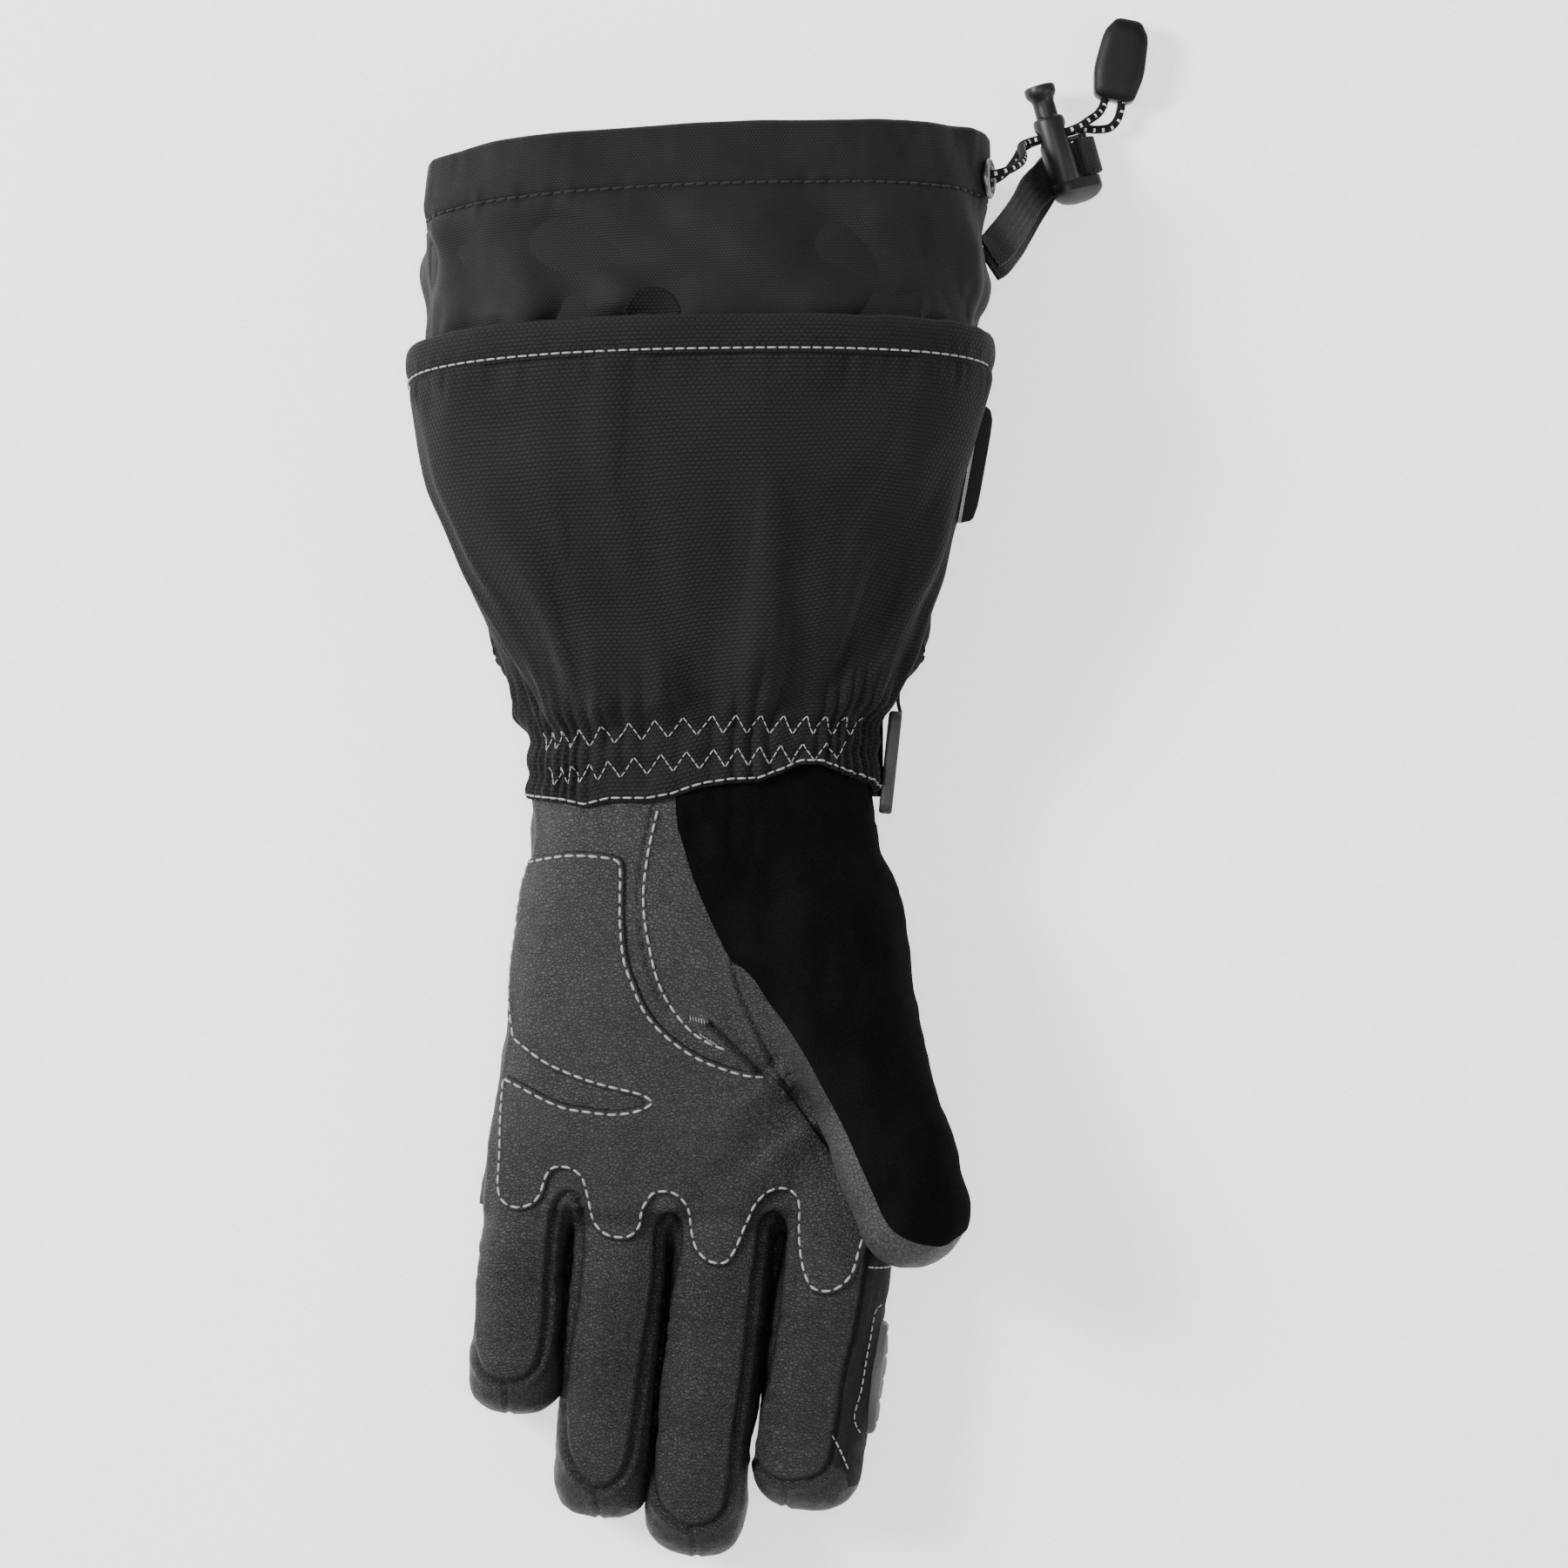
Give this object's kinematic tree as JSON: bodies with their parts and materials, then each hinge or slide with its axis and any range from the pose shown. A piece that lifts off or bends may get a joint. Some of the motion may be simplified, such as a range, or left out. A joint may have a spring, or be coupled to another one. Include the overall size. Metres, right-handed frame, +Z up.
{
  "type": "insulated gauntlet glove",
  "caption": "Insulated left-hand gauntlet glove, palm up, with leather palm and fingers, gathered wrist, wide woven cuff, snow skirt and elastic drawcord with a spring lock",
  "frame": {"origin": "on the flat pad on the back of the hand, in the plane the glove lies on, on its centre line just below the wrist", "axes": "+Y along the glove towards the cuff, +X towards the thumb side, +Z up out of the palm"},
  "size_m": [0.2014, 0.4222, 0.0723],
  "materials": {
    "cuff_fabric": "woven nylon",
    "skirt_fabric": "ribbed nylon",
    "lining_fabric": "brushed knit",
    "wrist_fabric": "gathered stretch nylon",
    "palm_leather": "grained leather",
    "finger_leather": "grained leather",
    "back_fabric": "stretch nylon",
    "back_pad": "grained leather",
    "suede": "napped suede",
    "webbing": "flat webbing",
    "elastic": "flat elastic",
    "cord": "braided elastic cord",
    "black_plastic": "moulded",
    "buckle_plastic": "moulded",
    "eyelet_metal": "blackened",
    "spring_steel": "bright wire",
    "guard_rubber": "soft",
    "label_cloth": "woven"
  },
  "bodies": {
    "gauntlet": {"gauntlet_shell": "cuff_fabric", "gauntlet_hem": "cuff_fabric", "gauntlet_lining": "lining_fabric", "snow_skirt": "skirt_fabric", "drawcord_tunnel": "skirt_fabric", "drawcord": "cord", "eyelet_palm": "eyelet_metal", "eyelet_back": "eyelet_metal", "cord_strand_palm": "cord", "cord_strand_back": "cord", "lock_tether": "webbing", "lock_barrel": "black_plastic", "lock_spring": "spring_steel", "side_tab": "label_cloth", "wrist_gather": "wrist_fabric", "wrist_elastic": "elastic", "wrist_lining": "lining_fabric", "wrist_strap": "webbing", "strap_ring": "buckle_plastic", "ring_anchor": "webbing"},
    "hand": {"palm_panel": "palm_leather", "back_panel": "back_fabric", "palm_overlay": "palm_leather", "hand_lining": "lining_fabric", "back_pad": "back_pad", "finger_webs": "finger_leather", "thumb_base": "finger_leather", "thumb_base_lining": "lining_fabric", "thumb_suede": "suede", "little_root": "finger_leather", "ring_root": "finger_leather", "middle_root": "finger_leather", "index_root": "finger_leather"},
    "lock_button": {"lock_plunger": "black_plastic"},
    "pull_end": {"pull_end_body": "black_plastic", "pull_end_cap": "black_plastic"},
    "little_middle_part": {"little_middle": "finger_leather", "little_middle_lining": "lining_fabric"},
    "little_end_part": {"little_tip": "finger_leather", "little_tip_lining": "lining_fabric"},
    "ring_middle_part": {"ring_middle": "finger_leather", "ring_middle_lining": "lining_fabric"},
    "ring_end_part": {"ring_tip": "finger_leather", "ring_tip_lining": "lining_fabric"},
    "middle_middle_part": {"middle_middle": "finger_leather", "middle_middle_lining": "lining_fabric"},
    "middle_end_part": {"middle_tip": "finger_leather", "middle_tip_lining": "lining_fabric"},
    "index_middle_part": {"index_middle": "finger_leather", "index_middle_lining": "lining_fabric", "index_guard": "guard_rubber"},
    "index_end_part": {"index_tip": "finger_leather", "index_tip_lining": "lining_fabric"},
    "thumb_end_part": {"thumb_tip": "finger_leather", "thumb_tip_lining": "lining_fabric"}
  },
  "joints": [
    {"name": "wrist_bend", "type": "hinge", "parent": "gauntlet", "child": "hand", "pos_m": [0, 0.025, 0.024], "axis": [-1, 0, 0], "range_deg": [0, 35], "deforming": ["wrist_gather", "wrist_elastic", "wrist_lining", "wrist_strap"]},
    {"name": "little_middle_bend", "type": "hinge", "parent": "hand", "child": "little_middle_part", "pos_m": [-0.04995, -0.11695, 0.0128], "axis": [-0.9981, 0.061, 0], "range_deg": [0, 60]},
    {"name": "little_end_bend", "type": "hinge", "parent": "little_middle_part", "child": "little_end_part", "pos_m": [-0.05123, -0.13791, 0.0128], "axis": [-0.9981, 0.061, 0], "range_deg": [0, 42]},
    {"name": "ring_middle_bend", "type": "hinge", "parent": "hand", "child": "ring_middle_part", "pos_m": [-0.02441, -0.12987, 0.0128], "axis": [-0.9968, 0.0802, 0], "range_deg": [0, 60]},
    {"name": "ring_end_bend", "type": "hinge", "parent": "ring_middle_part", "child": "ring_end_part", "pos_m": [-0.02661, -0.15728, 0.0128], "axis": [-0.9968, 0.0802, 0], "range_deg": [0, 42]},
    {"name": "middle_middle_bend", "type": "hinge", "parent": "hand", "child": "middle_middle_part", "pos_m": [0.00304, -0.13474, 0.0134], "axis": [-0.9942, 0.108, 0], "range_deg": [0, 60]},
    {"name": "middle_end_bend", "type": "hinge", "parent": "middle_middle_part", "child": "middle_end_part", "pos_m": [-0.0002, -0.16456, 0.0134], "axis": [-0.9942, 0.108, 0], "range_deg": [0, 42]},
    {"name": "index_middle_bend", "type": "hinge", "parent": "hand", "child": "index_middle_part", "pos_m": [0.03348, -0.13361, 0.015], "axis": [-0.9912, 0.1323, 0], "range_deg": [0, 60]},
    {"name": "index_end_bend", "type": "hinge", "parent": "index_middle_part", "child": "index_end_part", "pos_m": [0.02965, -0.16236, 0.015], "axis": [-0.9912, 0.1323, 0], "range_deg": [0, 42]},
    {"name": "thumb_bend", "type": "hinge", "parent": "hand", "child": "thumb_end_part", "pos_m": [0.0512, -0.085, 0.0415], "axis": [-0.6519, -0.2541, -0.7145], "range_deg": [0, 40]},
    {"name": "lock_press", "type": "slide", "parent": "gauntlet", "child": "lock_button", "axis": [0.2723, -0.9622, 0], "range_m": [0, 0.004], "stiffness_N_per_m": 700, "springref_m": -0.003, "deforming": ["lock_spring"]},
    {"name": "cord_pull", "type": "slide", "parent": "gauntlet", "child": "pull_end", "axis": [0.5291, 0.8486, 0], "range_m": [0, 0.015], "stiffness_N_per_m": 60, "deforming": ["cord_strand_palm", "cord_strand_back"]}
  ]
}
